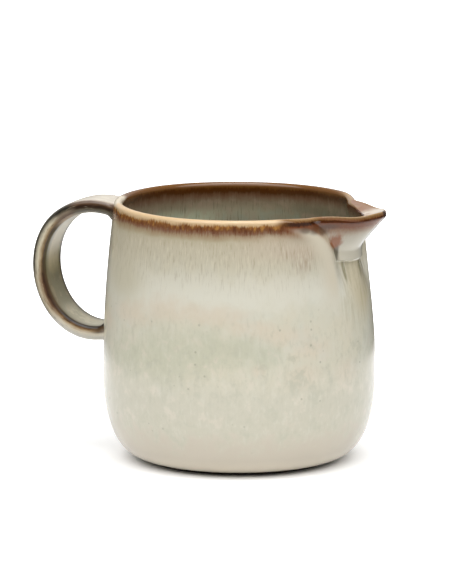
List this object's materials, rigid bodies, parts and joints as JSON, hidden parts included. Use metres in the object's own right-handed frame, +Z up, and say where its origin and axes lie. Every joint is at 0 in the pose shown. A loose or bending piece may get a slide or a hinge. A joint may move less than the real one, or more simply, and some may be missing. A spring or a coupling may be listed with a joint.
{
  "type": "milk jug",
  "caption": "Round-bellied glazed stoneware milk jug with a rounded heel, a folded pouring beak luted into the rim and a strap loop handle opposite.",
  "frame": {"origin": "middle of the flat base, on the pot's axis", "axes": "+Z up along the pot's axis, +X towards the beak's tip, -X towards the handle; the XZ plane is the mirror plane"},
  "size_m": [0.1213, 0.09, 0.086],
  "materials": {
    "cream_glaze": "glossy cream reactive glaze, brown where it runs thin at the lip",
    "handle_glaze": "glossy cream reactive glaze that breaks to dark brown along the strap's edges"
  },
  "bodies": {
    "root": {"body": "cream_glaze", "spout": "cream_glaze", "handle": "handle_glaze", "handle_top_luting": "handle_glaze", "handle_bottom_luting": "handle_glaze"}
  },
  "joints": []
}
